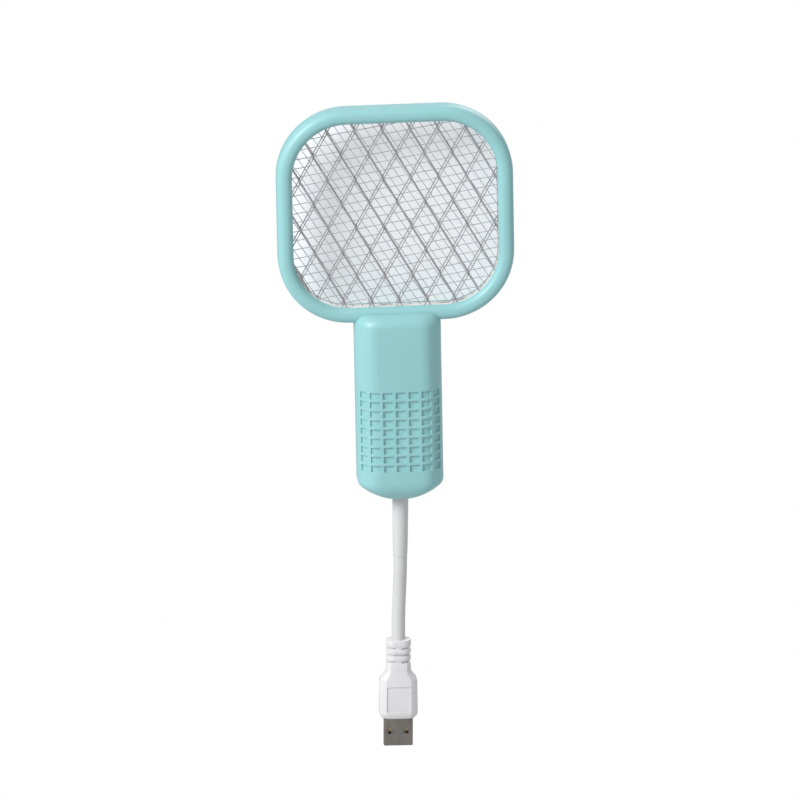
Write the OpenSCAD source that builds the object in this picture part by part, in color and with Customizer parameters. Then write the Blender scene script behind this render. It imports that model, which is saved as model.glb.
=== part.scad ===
// Small electric fly swatter with a rounded square head, a ribbed hand grip and a short USB lead.
// +Z runs up the handle to the head, -Y is the front and +Y the side with the controls.
// The origin is the middle of the hand grip, on the handle's axis.

/* [Overall] */
// Length of the body, from the bottom of the handle to the top of the head
body_len = 170; // [165:1:205]
// Height of the grip's middle above the bottom of the handle
grip_height = 33; // [31:1:35]

/* [Head] */
// Width of the head
head_w = 97; // [80:1:120]
// Height of the head
head_h = 90.5; // [80:0.5:98]
// Outer corner radius of the head
head_corner_r = 29; // [24:1:34]
// Width of the rim, seen from the front
rim_w = 7; // [6.5:0.5:9]
// Depth of the rim, front to back
rim_depth = 11; // [11:0.5:16]
// Thickness of the rim's outer wall
rim_wall = 1.7; // [1.4:0.1:2]
// Depth of the lip that covers the grid, on each half
rim_lip = 2.6; // [2:0.1:3]

/* [Handle] */
// Width of the handle
handle_w = 35.5; // [34:0.5:44]
// Depth of the handle, front to back
handle_d = 25; // [25:0.5:32]
// Corner radius of the handle's section
handle_corner_r = 9; // [7:0.5:10]
// Wall thickness of the handle
handle_wall = 1.8; // [1.5:0.1:2]
// How far the shoulder of the handle rises over the rim
shoulder_rise = 4; // [4:0.5:6.5]
// Radius of the shoulder's rounded edges
shoulder_r = 5; // [3:0.5:6]
// Radius of the domed bottom
dome_r = 26; // [24:1:32]
// Radius of the rounding from the front and rear faces into the bottom
heel_r = 9; // [6:0.5:9]

/* [Grip cells] */
// Number of columns of cells
cell_columns = 7; // [5:2:7]
// Number of rows of cells
cell_rows = 9; // [5:1:9]
// Distance from one column to the next
column_pitch = 5.3; // [4:0.1:5.3]
// Distance from one row to the next
row_pitch = 4; // [3:0.1:4]
// Width of the raised rib between two columns
column_rib = 1.3; // [0.8:0.1:2]
// Width of the raised rib between two rows
row_rib = 1.1; // [0.8:0.1:1.6]
// Depth of the cells
cell_depth = 0.7; // [0.3:0.1:0.8]

/* [Grids] */
// Thickness of the wires of all three grids
wire = 0.5; // [0.4:0.1:0.8]
// Distance between diamonds along a row of the two outer grids
diamond_w = 11.35; // [8:0.05:16]
// Slope of the wires of the outer grids
diamond_angle = 60; // [45:1:70]
// Distance between the flat wires of the middle grid
middle_pitch = 7.8; // [6:0.1:12]

/* [Controls] */
// Radius of the push button
button_r = 5; // [4:0.1:6]
// Travel of the push button
button_travel = 0.6; // [0.3:0.1:0.6]
// Travel of the slide switch
slide_travel = 2; // [1:0.1:2.4]
// Gap round the button and the slide knob
control_gap = 0.25; // [0.15:0.05:0.35]

/* [Battery] */
// Diameter of the cell
cell_d = 14; // [10:0.1:14]
// Length of the cell
cell_len = 43; // [30:1:43]

/* [Lead and plug] */
// Diameter of the lead
cord_d = 5.6; // [4:0.1:6]
// Radius of the strain relief where it leaves the handle
relief_r = 3.4; // [3.2:0.1:4]
// Length of the strain relief outside the handle
relief_len = 26; // [15:1:40]
// Width of the plug's moulding
plug_w = 15.9; // [14:0.1:17]
// Depth of the plug's moulding
plug_d = 8.2; // [7:0.1:9]
// Length of the wide part of the plug's moulding
plug_len = 17.1; // [14:0.1:20]

/* [Hidden] */

$fn = 64;
over = 1;                                   // how far a cut runs past the face it opens

// Heights along the body
bottom_z = -grip_height;
top_z = bottom_z + body_len;
head_z = top_z - head_h / 2;                // middle of the head
rim_z = top_z - head_h;                     // lowest point of the rim
shoulder_z = rim_z + shoulder_rise;

// Inside of the handle
cavity_w = handle_w - 2 * handle_wall;
cavity_d = handle_d - 2 * handle_wall;
cavity_r = handle_corner_r - handle_wall;
cavity_dome_r = dome_r - handle_wall;
dome_z = bottom_z + dome_r;                 // centre of the domed bottom
cavity_top = shoulder_z - 4;
inner_y = cavity_d / 2;                     // inner face of the front and rear walls

// Layers of the head, measured from the middle plane
half_depth = rim_depth / 2;
layer_y = half_depth - rim_lip;             // outer face of the outer grids
nose_r = 3;                                 // rounding of the rim's edges
grid_inset = rim_wall + 0.8;                // grids and spacers stay clear of the outer wall
spacer_inset = rim_wall + 0.2;
spacer_w = rim_w - spacer_inset - 0.8;
border_w = 1.2;                             // flat border of each grid
spacer_h = layer_y - wire * 1.5;

// Tabs on the grids and the slot through which they reach the handle
tab_w = 3;
tab_bottom = cavity_top - 2.6;
front_tab_x = -6.5;
rear_tab_x = -2.5;
middle_tab_x = 4.5;
wire_slot_w = 20;

// Second set of wires of the middle grid
flat_angle = 9;
steep_angle = -57;
steep_pitch = middle_pitch * 0.88;

// Grip
grip_h = cell_rows * row_pitch - row_rib;
outer_cell_x = 16.4 * handle_w / 35.5;      // where the last column ends on the rounded corner

// Circuit board
board_w = 18;
board_t = 1.6;
board_top = cavity_top - 2.5;
board_bottom = board_top - 54;
board_rear = inner_y - 4.7;                 // face that carries the switches
board_front = board_rear - board_t;

// Controls, placed one below the other from the top of the board
button_proud = 0.8;
flange_h = 1;
flange_r = button_r + 1;
flange_y = inner_y - 0.1 - flange_h;        // inner face of the button's flange
switch_h = 2.6;
switch_w = 6;
plunger_r = 1.5;
plunger_gap = 0.06;
plunger_grip = 1.2;                         // length of the plunger inside its switch
knob_z = board_top - 5.5;                   // middle of the knob, switched off
knob_w = 3.6;
knob_len = 5;
knob_proud = 0.6;
plate_w = 6.4;
plate_len = knob_len + 2 * slide_travel + 0.6;
plate_h = 0.8;
plate_y = inner_y - 0.3 - plate_h;
lever_w = 1.4;
slide_body_w = 3.8;
slide_body_len = 8.6;
led_r = 1.5;
led_z = knob_z - plate_len / 2 - led_r - 0.9;
button_z = led_z - led_r - 0.8 - flange_r;

// Screws
housing_screw_x = handle_w / 2 - 5.45;
housing_screw_z = [rim_z - 8, bottom_z + 13];
post_r = 2.75;
split_y = 4;                                // where front and rear posts meet
screw_r = 1;
screw_hole_r = 1.2;
screw_tip_y = -6;
head_r = 1.9;
head_hole_r = 2.2;
head_seat_y = handle_d / 2 - 4.9;
head_h_mm = 1.4;
board_screw_at = [[-6, button_z - 13], [6, button_z - 29]];
board_screw_r = 0.8;
board_post_r = 2.2;

// Battery, against the pad on the front wall
pad_t = 0.6;
cell_y = -inner_y + pad_t + cell_d / 2;
cell_bottom = bottom_z + 9;
cell_top = cell_bottom + cell_len;
tab_t = 0.2;

// Transformer and the parts beside it
core_w = 13;
core_h = 12;
core_t = 6;
core_leg = 3.6;
core_x = -2;
winding_d = 10.4;
core_z = board_top - 16;
core_y = board_front - winding_d / 2;

// Lead: route of its centre line, and the plug below it
cord_r = cord_d / 2;
cord_top = bottom_z + 4;
cord_route = [[0, 0, -29], [0, 0, -33], [-0.08, 0, -37], [-0.17, 0, -41], [-0.25, 0, -45],
  [-0.34, 0, -49], [-0.42, 0, -53], [-0.5, 0, -57], [-0.62, 0, -61], [-0.82, 0, -65],
  [-1.05, 0, -69], [-1.28, 0, -73], [-1.5, 0, -77], [-1.69, 0, -81], [-1.82, 0, -86], [-1.9, 0, -91]];
cord_lean = 1.2;                            // tilt of the strain relief and of the plug
plug_at = cord_route[len(cord_route) - 1];   // where the lead enters the plug
plug_top = 0;                               // the plug is drawn down from its own top
collar_r = 5;
collar_top = bottom_z + 4.8;
collar_h = 2.4;
relief_tip_r = cord_r + 0.3;
bore_gap = 0.05;

// Plug
rib_w = 10.4;
rib_d = 7.6;
rib_ends = [0, 3, 3.9, 5.9, 6.8, 8.9, 9.7]; // rib and groove borders, down from the plug's top
neck_w = 10;
neck_len = 3.8;
shoulder_len = 3.3;
plug_bevel = 1.6;
plug_z = plug_top - rib_ends[6] - neck_len - shoulder_len;
plug_bottom = plug_z - plug_len;
panel_w = 9.8;
panel_h = 10.9;
panel_depth = 0.4;
usb_w = 12;
usb_d = 4.5;
usb_wall = 0.3;
usb_len = 11.8;
usb_grip = 3;
usb_hole_w = 2.7;
usb_hole_h = 2.3;
usb_hole_x = 3.1;
usb_hole_z = plug_bottom - 5.5;

// Rectangle with rounded corners, on its middle
module rounded_rect(w, h, r) {
  square([w - 2 * r, h], center = true);
  square([w, h - 2 * r], center = true);
  for (x = [-1, 1], y = [-1, 1])
    translate([x * (w / 2 - r), y * (h / 2 - r)])
      circle(r);
}

// Turns a drawing in X and Y into one in X and Z, raised towards the front
module facing_front() {
  rotate([90, 0, 0])
    children();
}

// Same, raised towards the rear
module facing_rear() {
  mirror([0, 1, 0])
    facing_front()
      children();
}

// Post or hole along Y between two depths
module along_y(r, x, z, y_from, y_to) {
  translate([x, y_to, z])
    rotate([90, 0, 0])
      cylinder(r = r, h = y_to - y_from);
}

// Box given by its middle in X and Z and its two depths
module block(w, h, x, z, y_from, y_to) {
  translate([x - w / 2, y_from, z - h / 2])
    cube([w, y_to - y_from, h]);
}

// Carries a rim profile round the head; the profile's x is its distance from the corner's centre
module round_the_head() {
  straight_w = head_w - 2 * head_corner_r;
  straight_h = head_h - 2 * head_corner_r;
  translate([0, head_z, 0]) {
    for (turn = [0, 180])
      rotate(turn) {
        translate([-straight_w / 2, straight_h / 2, 0])
          rotate([90, 0, 90])
            linear_extrude(straight_w)
              children();
        translate([straight_w / 2, -straight_h / 2, 0])
          rotate([90, 0, 0])
            mirror([0, 0, 1])
              linear_extrude(straight_h)
                children();
        translate([straight_w / 2, straight_h / 2, 0])
          rotate_extrude(angle = 90)
            children();
        translate([-straight_w / 2, straight_h / 2, 0])
          rotate(90)
            rotate_extrude(angle = 90)
              children();
      }
  }
}

// Outer section of one half of the rim, with a rounded nose
module rim_profile() {
  translate([head_corner_r - rim_w, 0]) {
    square([rim_w, half_depth - nose_r]);
    translate([nose_r, 0])
      square([rim_w - 2 * nose_r, half_depth]);
    for (x = [nose_r, rim_w - nose_r])
      translate([x, half_depth - nose_r])
        circle(nose_r);
  }
}

// Space for grids and spacers inside the rim, across the whole opening
module grid_space() {
  translate([0, layer_y, 0])
    facing_front()
      linear_extrude(2 * layer_y)
        translate([0, head_z])
          rounded_rect(head_w - 2 * rim_wall, head_h - 2 * rim_wall, head_corner_r - rim_wall);
}

// Straight barrel closed by the domed bottom
module domed_barrel(r, top) {
  translate([0, 0, dome_z])
    cylinder(r = r, h = top - dome_z);
  translate([0, 0, dome_z])
    sphere(r);
}

// Outline of the handle seen from the side, with its own roundings at the bottom and the top
module side_outline(depth, low, high, low_r, high_r) {
  h = high - low;
  translate([0, low + h / 3])
    rounded_rect(depth, h * 2 / 3, low_r);
  translate([0, high - h / 3])
    rounded_rect(depth, h * 2 / 3, high_r);
}

// Outside of the whole handle, both halves
module handle_outside() {
  side_h = shoulder_z - bottom_z;
  mid_z = bottom_z + side_h / 2 - shoulder_r;
  intersection() {
    translate([0, 0, bottom_z - over])
      linear_extrude(side_h + 2 * over)
        rounded_rect(handle_w, handle_d, handle_corner_r);
    translate([0, handle_d, mid_z])
      rotate([90, 0, 0])
        linear_extrude(2 * handle_d)
          rounded_rect(handle_w, side_h + 2 * shoulder_r, shoulder_r);
    translate([-handle_w, 0, mid_z])
      rotate([90, 0, 90])
        linear_extrude(2 * handle_w)
          side_outline(handle_d, bottom_z, shoulder_z, heel_r, shoulder_r);
    domed_barrel(dome_r, shoulder_z + over);
  }
}

// Inside of the handle
module handle_cavity() {
  intersection() {
    translate([0, 0, bottom_z])
      linear_extrude(cavity_top - bottom_z)
        rounded_rect(cavity_w, cavity_d, cavity_r);
    translate([-handle_w, 0, 0])
      rotate([90, 0, 90])
        linear_extrude(2 * handle_w)
          side_outline(cavity_d, bottom_z + handle_wall, shoulder_z, heel_r - handle_wall, over);
    domed_barrel(cavity_dome_r, cavity_top + over);
  }
}

// Cells sunk into the front and rear faces of the grip
module grip_cells() {
  skin_w = handle_w - 2 * cell_depth;
  skin_d = handle_d - 2 * cell_depth;
  last = (cell_columns - 1) / 2;
  cell_w = column_pitch - column_rib;
  cell_h = row_pitch - row_rib;
  intersection() {
    translate([0, 0, -grip_h / 2 - over])
      linear_extrude(grip_h + 2 * over)
        difference() {
          rounded_rect(handle_w + over, handle_d + over, handle_corner_r);
          rounded_rect(skin_w, skin_d, handle_corner_r - cell_depth);
        }
    for (column = [-last : last], row = [0 : cell_rows - 1]) {
      edge_cell = abs(column) == last && cell_columns == 7;
      left = abs(column) * column_pitch - cell_w / 2;
      width = edge_cell ? outer_cell_x - left : cell_w;
      middle = sign(column) * (left + width / 2);
      z = -grip_h / 2 + cell_h / 2 + row * row_pitch;
      block(width, cell_h, column == 0 ? 0 : middle, z, -handle_d, handle_d);
    }
  }
}

// What both halves of the housing share, before they are parted
module housing_blank() {
  difference() {
    union() {
      children();
      handle_outside();
    }
    handle_cavity();
    grip_cells();
    grid_space();
    block(wire_slot_w, 8, 0, rim_z, -layer_y, layer_y);
    translate([0, 0, cord_top - over])
      mirror([0, 0, 1])
        cylinder(r = relief_r + bore_gap, h = cord_top - bottom_z + over);
  }
}

module front_housing() {
  color([0.62, 0.85, 0.87])
    difference() {
      union() {
        intersection() {
          housing_blank()
            facing_front()
              round_the_head()
                rim_profile();
          block(head_w + 2 * over, body_len + 2 * over, 0, bottom_z + body_len / 2, -handle_d, 0);
        }
        intersection() {
          handle_outside();
          union()
            for (x = [-1, 1], z = housing_screw_z)
              along_y(post_r, x * housing_screw_x, z, -handle_d / 2, split_y);
        }
        for (z = [cell_bottom - 1.4, cell_top + 1.4])
          block(cell_d - 2, 1.2, 0, z, -inner_y - 0.5, cell_y + 1);
      }
      for (x = [-1, 1], z = housing_screw_z)
        along_y(screw_r, x * housing_screw_x, z, screw_tip_y, split_y + over);
    }
}

module rear_housing() {
  color([0.62, 0.85, 0.87])
    difference() {
      union() {
        intersection() {
          housing_blank()
            facing_rear()
              round_the_head()
                rim_profile();
          block(head_w + 2 * over, body_len + 2 * over, 0, bottom_z + body_len / 2, 0, handle_d);
        }
        intersection() {
          handle_outside();
          union() {
            for (x = [-1, 1], z = housing_screw_z)
              along_y(post_r, x * housing_screw_x, z, split_y, handle_d / 2);
            for (at = board_screw_at)
              along_y(board_post_r, at[0], at[1], board_rear, inner_y + 0.5);
          }
        }
      }
      for (x = [-1, 1], z = housing_screw_z) {
        along_y(screw_hole_r, x * housing_screw_x, z, split_y - over, handle_d / 2);
        along_y(head_hole_r, x * housing_screw_x, z, head_seat_y, handle_d / 2 + over);
      }
      for (at = board_screw_at)
        along_y(board_screw_r, at[0], at[1], board_rear - over, inner_y);
      along_y(button_r + control_gap, 0, button_z, inner_y - over, handle_d / 2 + over);
      along_y(led_r, 0, led_z, inner_y - over, handle_d / 2 + over);
      block(knob_w + 2 * control_gap, knob_len + slide_travel + 2 * control_gap, 0,
        knob_z + slide_travel / 2, inner_y - over, handle_d / 2 + over);
    }
}

// Parallel wires at an angle, over the whole head
module wires(angle, pitch) {
  reach = head_w + head_h;
  count = ceil(reach / 2 / pitch);
  rotate(angle)
    for (i = [-count : count])
      translate([0, i * pitch])
        square([reach, wire], center = true);
}

// Flat grid with its border and one tab that reaches down into the handle
module grid(angles, pitches, tab_x) {
  w = head_w - 2 * grid_inset;
  h = head_h - 2 * grid_inset;
  r = head_corner_r - grid_inset;
  tab_top = rim_z + grid_inset + border_w;
  linear_extrude(wire) {
    translate([0, head_z]) {
      intersection() {
        rounded_rect(w, h, r);
        union()
          for (i = [0, 1])
            wires(angles[i], pitches[i]);
      }
      difference() {
        rounded_rect(w, h, r);
        rounded_rect(w - 2 * border_w, h - 2 * border_w, r - border_w);
      }
    }
    translate([tab_x - tab_w / 2, tab_bottom])
      square([tab_w, tab_top - tab_bottom]);
  }
}

module outer_grid(tab_x) {
  pitch = diamond_w * sin(diamond_angle);
  color([0.72, 0.73, 0.75])
    grid([diamond_angle, -diamond_angle], [pitch, pitch], tab_x);
}

module front_grid() {
  translate([0, wire - layer_y, 0])
    facing_front()
      outer_grid(front_tab_x);
}

module rear_grid() {
  translate([0, layer_y, 0])
    facing_front()
      outer_grid(rear_tab_x);
}

module middle_grid() {
  color([0.66, 0.67, 0.7])
    translate([0, wire / 2, 0])
      facing_front()
        grid([flat_angle, steep_angle], [middle_pitch, steep_pitch], middle_tab_x);
}

// Insulating ring between two grids
module spacer() {
  color([0.93, 0.94, 0.94])
    linear_extrude(spacer_h)
      translate([0, head_z])
        difference() {
          rounded_rect(head_w - 2 * spacer_inset, head_h - 2 * spacer_inset,
            head_corner_r - spacer_inset);
          rounded_rect(head_w - 2 * (spacer_inset + spacer_w),
            head_h - 2 * (spacer_inset + spacer_w), head_corner_r - spacer_inset - spacer_w);
        }
}

module front_spacer() {
  translate([0, -wire / 2, 0])
    facing_front()
      spacer();
}

module rear_spacer() {
  translate([0, wire / 2, 0])
    facing_rear()
      spacer();
}

module circuit_board() {
  color([0.12, 0.42, 0.22])
    difference() {
      block(board_w, board_top - board_bottom, 0, (board_top + board_bottom) / 2,
        board_front, board_rear);
      for (at = board_screw_at)
        along_y(board_screw_r + 0.2, at[0], at[1], board_front - over, board_rear + over);
    }
}

module transformer_core() {
  window_w = (core_w - core_leg) / 2 - 2.3;
  color([0.2, 0.2, 0.21])
    difference() {
      block(core_w, core_h, core_x, core_z, core_y - core_t / 2, core_y + core_t / 2);
      for (side = [-1, 1])
        block(window_w, core_h - 4, core_x + side * (core_leg + window_w) / 2, core_z,
          core_y - core_t, core_y + core_t);
    }
}

module transformer_winding() {
  color([0.86, 0.66, 0.2])
    difference() {
      block(core_w - 4.8, core_h - 4.2, core_x, core_z, core_y - winding_d / 2, board_front);
      block(core_leg, core_h, core_x, core_z, core_y - core_t / 2, core_y + core_t / 2);
    }
}

module high_voltage_capacitor() {
  color([0.75, 0.22, 0.16])
    translate([0, board_front, board_top - 4.2])
      rotate([90, 0, 0])
        linear_extrude(9)
          rounded_rect(12, 6, 1.5);
}

module switching_transistor() {
  color([0.1, 0.1, 0.11])
    intersection() {
      along_y(2.1, 6.8, board_top - 13, board_front - 5, board_front);
      block(4.4, 3.4, 6.8, board_top - 13.4, board_front - 6, board_front + over);
    }
}

// Parts that lie across the rear face of the board
module lying_part(r, length, x, z) {
  translate([x - length / 2, board_rear + r, z])
    rotate([0, 90, 0])
      cylinder(r = r, h = length);
}

module rectifier_diodes() {
  color([0.15, 0.15, 0.16])
    for (i = [0 : 2])
      lying_part(1.2, 5, 3.8, board_top - 42 + 4 * i);
}

module resistors() {
  color([0.8, 0.7, 0.5])
    for (i = [0, 1])
      lying_part(0.9, 4, -3.5, board_top - 47.5 - 3 * i);
}

module charger_chip() {
  color([0.12, 0.12, 0.13])
    block(4, 5, -4, board_top - 42, board_rear, board_rear + 1.5);
}

module battery_cell() {
  color([0.25, 0.45, 0.7])
    translate([0, cell_y, cell_bottom])
      cylinder(d = cell_d, h = cell_len);
}

module battery_tabs() {
  color([0.78, 0.78, 0.76])
    for (z = [cell_bottom - tab_t, cell_top])
      translate([-2, cell_y - 3, z])
        cube([4, 6, tab_t]);
}

module battery_pad() {
  color([0.2, 0.2, 0.22])
    block(9, cell_len - 8, 0, (cell_bottom + cell_top) / 2, -inner_y, -inner_y + pad_t);
}

// Smooth tube along a route, as one closed mesh
function direction(route, i) =
  let (a = route[max(i - 1, 0)], b = route[min(i + 1, len(route) - 1)])
    (b - a) / norm(b - a);
function across(d, guide) =
  let (n = cross(d, guide))
    n / norm(n);
function ring(centre, d, r, sides, guide) =
  let (u = across(d, guide), v = cross(d, u))
    [for (k = [0 : sides - 1]) centre + r * (cos(360 * k / sides) * u + sin(360 * k / sides) * v)];

module tube(route, r, sides = 8, guide = [0, 1, 0]) {
  rings = len(route);
  points = [for (i = [0 : rings - 1])
    each ring(route[i], direction(route, i), r, sides, guide)];
  walls = [for (i = [0 : rings - 2], k = [0 : sides - 1])
    let (a = i * sides + k, b = i * sides + (k + 1) % sides)
      each [[a, a + sides, b], [b, a + sides, b + sides]]];
  start_cap = [[for (k = [0 : sides - 1]) k]];
  end_cap = [[for (k = [sides - 1 : -1 : 0]) (rings - 1) * sides + k]];
  polyhedron(points = points, faces = concat(walls, start_cap, end_cap), convexity = 4);
}

lead_r = 0.5;
lead_y = board_front - lead_r;              // leads lie against the front of the board

module battery_leads() {
  color([0.7, 0.12, 0.1])
    tube([[0, cell_y + 2.4, cell_top + tab_t + lead_r], [3, cell_y + 4.4, cell_top + 0.8],
      [7, lead_y - 1, cell_top + 1.6], [7.8, lead_y, cell_top + 4]], lead_r);
  color([0.1, 0.1, 0.1])
    tube([[0, cell_y + 2.4, cell_bottom - tab_t - lead_r], [-6, cell_y + 3.8, cell_bottom - 1.2],
      [-8.3, lead_y - 3, cell_bottom + 3], [-8.3, lead_y, board_bottom + 3],
      [-8.3, lead_y, board_bottom + 6]], lead_r, 8, [1, 0, 0]);
}

module high_voltage_lead() {
  color([0.85, 0.3, 0.25])
    tube([[middle_tab_x, wire / 2 + lead_r, board_top + 1.4],
      [middle_tab_x + 2.2, 1.8, board_top + 0.6], [7.6, lead_y - 0.8, board_top - 2],
      [7.6, lead_y, board_top - 5]], lead_r, 8, [1, 0, 0]);
}

module outer_grid_leads() {
  front_face = wire + lead_r - layer_y;
  rear_face = layer_y - wire - lead_r;
  junction = [-7.4, 0, board_top + 1];
  color([0.15, 0.15, 0.16]) {
    tube([[front_tab_x, front_face, board_top + 1.4], junction,
      [-7.8, lead_y - 1.6, board_top - 1.5], [-7.8, lead_y, board_top - 5]],
      lead_r, 8, [1, 0, 0]);
    tube([[rear_tab_x, rear_face, board_top + 1.4], [rear_tab_x - 2, rear_face, board_top + 1.2],
      junction], lead_r, 8, [0, 0, 1]);
  }
}

module supply_wires() {
  color([0.75, 0.75, 0.76])
    for (side = [-1, 1])
      tube([[side * 1.2, 0, cord_top], [side * 1.2, 0, cord_top + 0.8],
        [side * 1.4, 2.4, cord_top + 2.2], [side * 2, board_rear + 0.6, cord_top + 4.4],
        [side * 2.2, board_rear + lead_r, cord_top + 9], [side * 2.2, board_rear + lead_r, board_bottom + 2.5]],
        lead_r, 8, [1, 0, 0]);
}

module tact_switch_body() {
  color([0.16, 0.16, 0.17])
    difference() {
      block(switch_w, switch_w, 0, button_z, board_rear, board_rear + switch_h);
      along_y(plunger_r + plunger_gap, 0, button_z,
        board_rear + switch_h - plunger_grip - button_travel - 0.2, board_rear + switch_h + over);
    }
}

module tact_switch_plunger() {
  color([0.9, 0.9, 0.88])
    along_y(plunger_r, 0, button_z, board_rear + switch_h - plunger_grip, flange_y);
}

module push_button() {
  color([0.93, 0.94, 0.94])
    translate([0, flange_y, button_z])
      rotate([-90, 0, 0])
        rotate_extrude()
          difference() {
            union() {
              square([flange_r, flange_h]);
              square([button_r, handle_d / 2 + button_proud - flange_y - 0.5]);
              square([button_r - 0.5, handle_d / 2 + button_proud - flange_y]);
              translate([button_r - 0.5, handle_d / 2 + button_proud - flange_y - 0.5])
                circle(0.5);
            }
            translate([-flange_r, 0])
              square([flange_r, 2 * handle_d]);
          }
}

module slide_switch_body() {
  slot_len = lever_w + slide_travel + 0.4;
  color([0.7, 0.7, 0.72])
    difference() {
      block(slide_body_w, slide_body_len, 0, knob_z + slide_travel / 2,
        board_rear, board_rear + switch_h);
      block(lever_w + 0.4, slot_len, 0, knob_z + slide_travel / 2,
        board_rear + 0.8, board_rear + switch_h + over);
    }
}

module slide_switch_lever() {
  color([0.12, 0.12, 0.13])
    block(lever_w, lever_w, 0, knob_z, board_rear + 1.1, plate_y);
}

module slide_knob() {
  groove = 0.5;
  top_y = handle_d / 2 + knob_proud;
  color([0.93, 0.94, 0.94])
    difference() {
      union() {
        block(plate_w, plate_len, 0, knob_z, plate_y, plate_y + plate_h);
        block(knob_w, knob_len, 0, knob_z, plate_y, top_y);
      }
      for (i = [-1 : 1])
        block(knob_w + over, groove, 0, knob_z + i * 2 * groove, top_y - 0.35, top_y + over);
    }
}

module indicator_led() {
  color([0.8, 0.15, 0.12])
    translate([0, board_rear, led_z])
      rotate([-90, 0, 0]) {
        cylinder(r = led_r - 0.05, h = 2.8);
        translate([0, 0, 2.8])
          cylinder(r1 = led_r - 0.05, r2 = 0.6, h = 1.2);
      }
}

module led_window() {
  color([0.95, 0.6, 0.55])
    along_y(led_r, 0, led_z, inner_y, handle_d / 2);
}

module housing_screws() {
  color([0.6, 0.6, 0.62])
    for (x = [-1, 1], z = housing_screw_z)
      difference() {
        union() {
          along_y(screw_r, x * housing_screw_x, z, screw_tip_y, head_seat_y + 0.1);
          along_y(head_r, x * housing_screw_x, z, head_seat_y, head_seat_y + head_h_mm);
        }
        for (turn = [0, 90])
          translate([x * housing_screw_x, 0, z])
            rotate([0, turn, 0])
              block(2.2, 0.5, 0, 0, head_seat_y + head_h_mm - 0.7, head_seat_y + head_h_mm + over);
      }
}

module board_screws() {
  color([0.6, 0.6, 0.62])
    for (at = board_screw_at) {
      along_y(board_screw_r, at[0], at[1], board_front - 0.1, inner_y - 0.6);
      along_y(1.6, at[0], at[1], board_front - 1.1, board_front);
    }
}

module cord_strain_relief() {
  color([0.92, 0.92, 0.93])
    difference() {
      union() {
        translate([0, 0, collar_top - collar_h])
          cylinder(r = collar_r, h = collar_h);
        translate([0, 0, bottom_z - 0.3])
          cylinder(r = relief_r, h = collar_top - bottom_z);
        translate([0, 0, bottom_z])
          rotate([180, cord_lean, 0])
            cylinder(r1 = relief_r - 0.05, r2 = relief_tip_r, h = relief_len);
      }
      translate([0, 0, bottom_z])
        cylinder(r = cord_r + bore_gap, h = collar_top - bottom_z + over);
      translate([0, 0, bottom_z])
        rotate([180, cord_lean, 0])
          translate([0, 0, -0.1])
            cylinder(r = cord_r + bore_gap, h = relief_len + over);
    }
}

module usb_cord() {
  color([0.9, 0.9, 0.91])
    tube(cord_route, cord_r, 12);
}

module plug_overmould() {
  body_w = plug_w - 2 * plug_bevel;
  body_d = plug_d - 2 * plug_bevel;
  color([0.95, 0.95, 0.96])
    difference() {
      union() {
        for (i = [0, 2, 4])
          translate([0, 0, plug_top - rib_ends[i + 1]])
            linear_extrude(rib_ends[i + 1] - rib_ends[i])
              rounded_rect(rib_w, rib_d, 3.4);
        translate([0, 0, plug_top - rib_ends[6] - neck_len])
          linear_extrude(rib_ends[6] + neck_len - 1)
            rounded_rect(neck_w - 1.6, rib_d - 1.6, 2.8);
        translate([0, 0, plug_top - rib_ends[6] - neck_len])
          linear_extrude(neck_len)
            rounded_rect(neck_w, rib_d, 3.4);
        hull() {
          translate([0, 0, plug_z + shoulder_len - 0.01])
            linear_extrude(0.01)
              rounded_rect(neck_w, rib_d, 3.4, $fn = 32);
          translate([0, 0, plug_z])
            linear_extrude(0.01)
              plug_section();
        }
        translate([0, 0, plug_bottom])
          linear_extrude(plug_len)
            plug_section();
      }
      for (y = [-plug_d / 2 - over, plug_d / 2 - panel_depth])
        block(panel_w, panel_h, 0, plug_z - plug_len / 2, y, y + over + panel_depth);
      translate([-usb_w / 2, -usb_d / 2, plug_bottom - over])
        cube([usb_w, usb_d, usb_grip + over]);
    }
}

// Places the plug, drawn down from its own top, at the end of the lead
module on_the_lead() {
  translate(plug_at)
    rotate([0, cord_lean, 0])
      children();
}

// Section of the plug's wide part, with bevelled edges
module plug_section() {
  x = plug_w / 2;
  y = plug_d / 2;
  polygon([[x, y - plug_bevel], [x - plug_bevel, y], [plug_bevel - x, y], [-x, y - plug_bevel],
    [-x, plug_bevel - y], [plug_bevel - x, -y], [x - plug_bevel, -y], [x, plug_bevel - y]]);
}

module usb_shell() {
  color([0.62, 0.6, 0.58])
    difference() {
      translate([-usb_w / 2, -usb_d / 2, plug_bottom - usb_len])
        cube([usb_w, usb_d, usb_len + usb_grip]);
      translate([usb_wall - usb_w / 2, usb_wall - usb_d / 2, plug_bottom - usb_len - over])
        cube([usb_w - 2 * usb_wall, usb_d - 2 * usb_wall, usb_len + usb_grip + 2 * over]);
      for (x = [-usb_hole_x, usb_hole_x])
        block(usb_hole_w, usb_hole_h, x, usb_hole_z, -usb_d, usb_d);
    }
}

module usb_insulator() {
  color([0.9, 0.9, 0.9])
    translate([0.1 + usb_wall - usb_w / 2, 0, plug_bottom - usb_len + 0.6])
      cube([usb_w - 2 * usb_wall - 0.2, usb_d / 2 - usb_wall, usb_len + usb_grip - 0.6]);
}

module usb_contacts() {
  color([0.85, 0.68, 0.3])
    for (x = [-3.5, -1, 1, 3.5])
      block(1, 8, x, plug_bottom - usb_len + 6, -0.25, 0);
}

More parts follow.
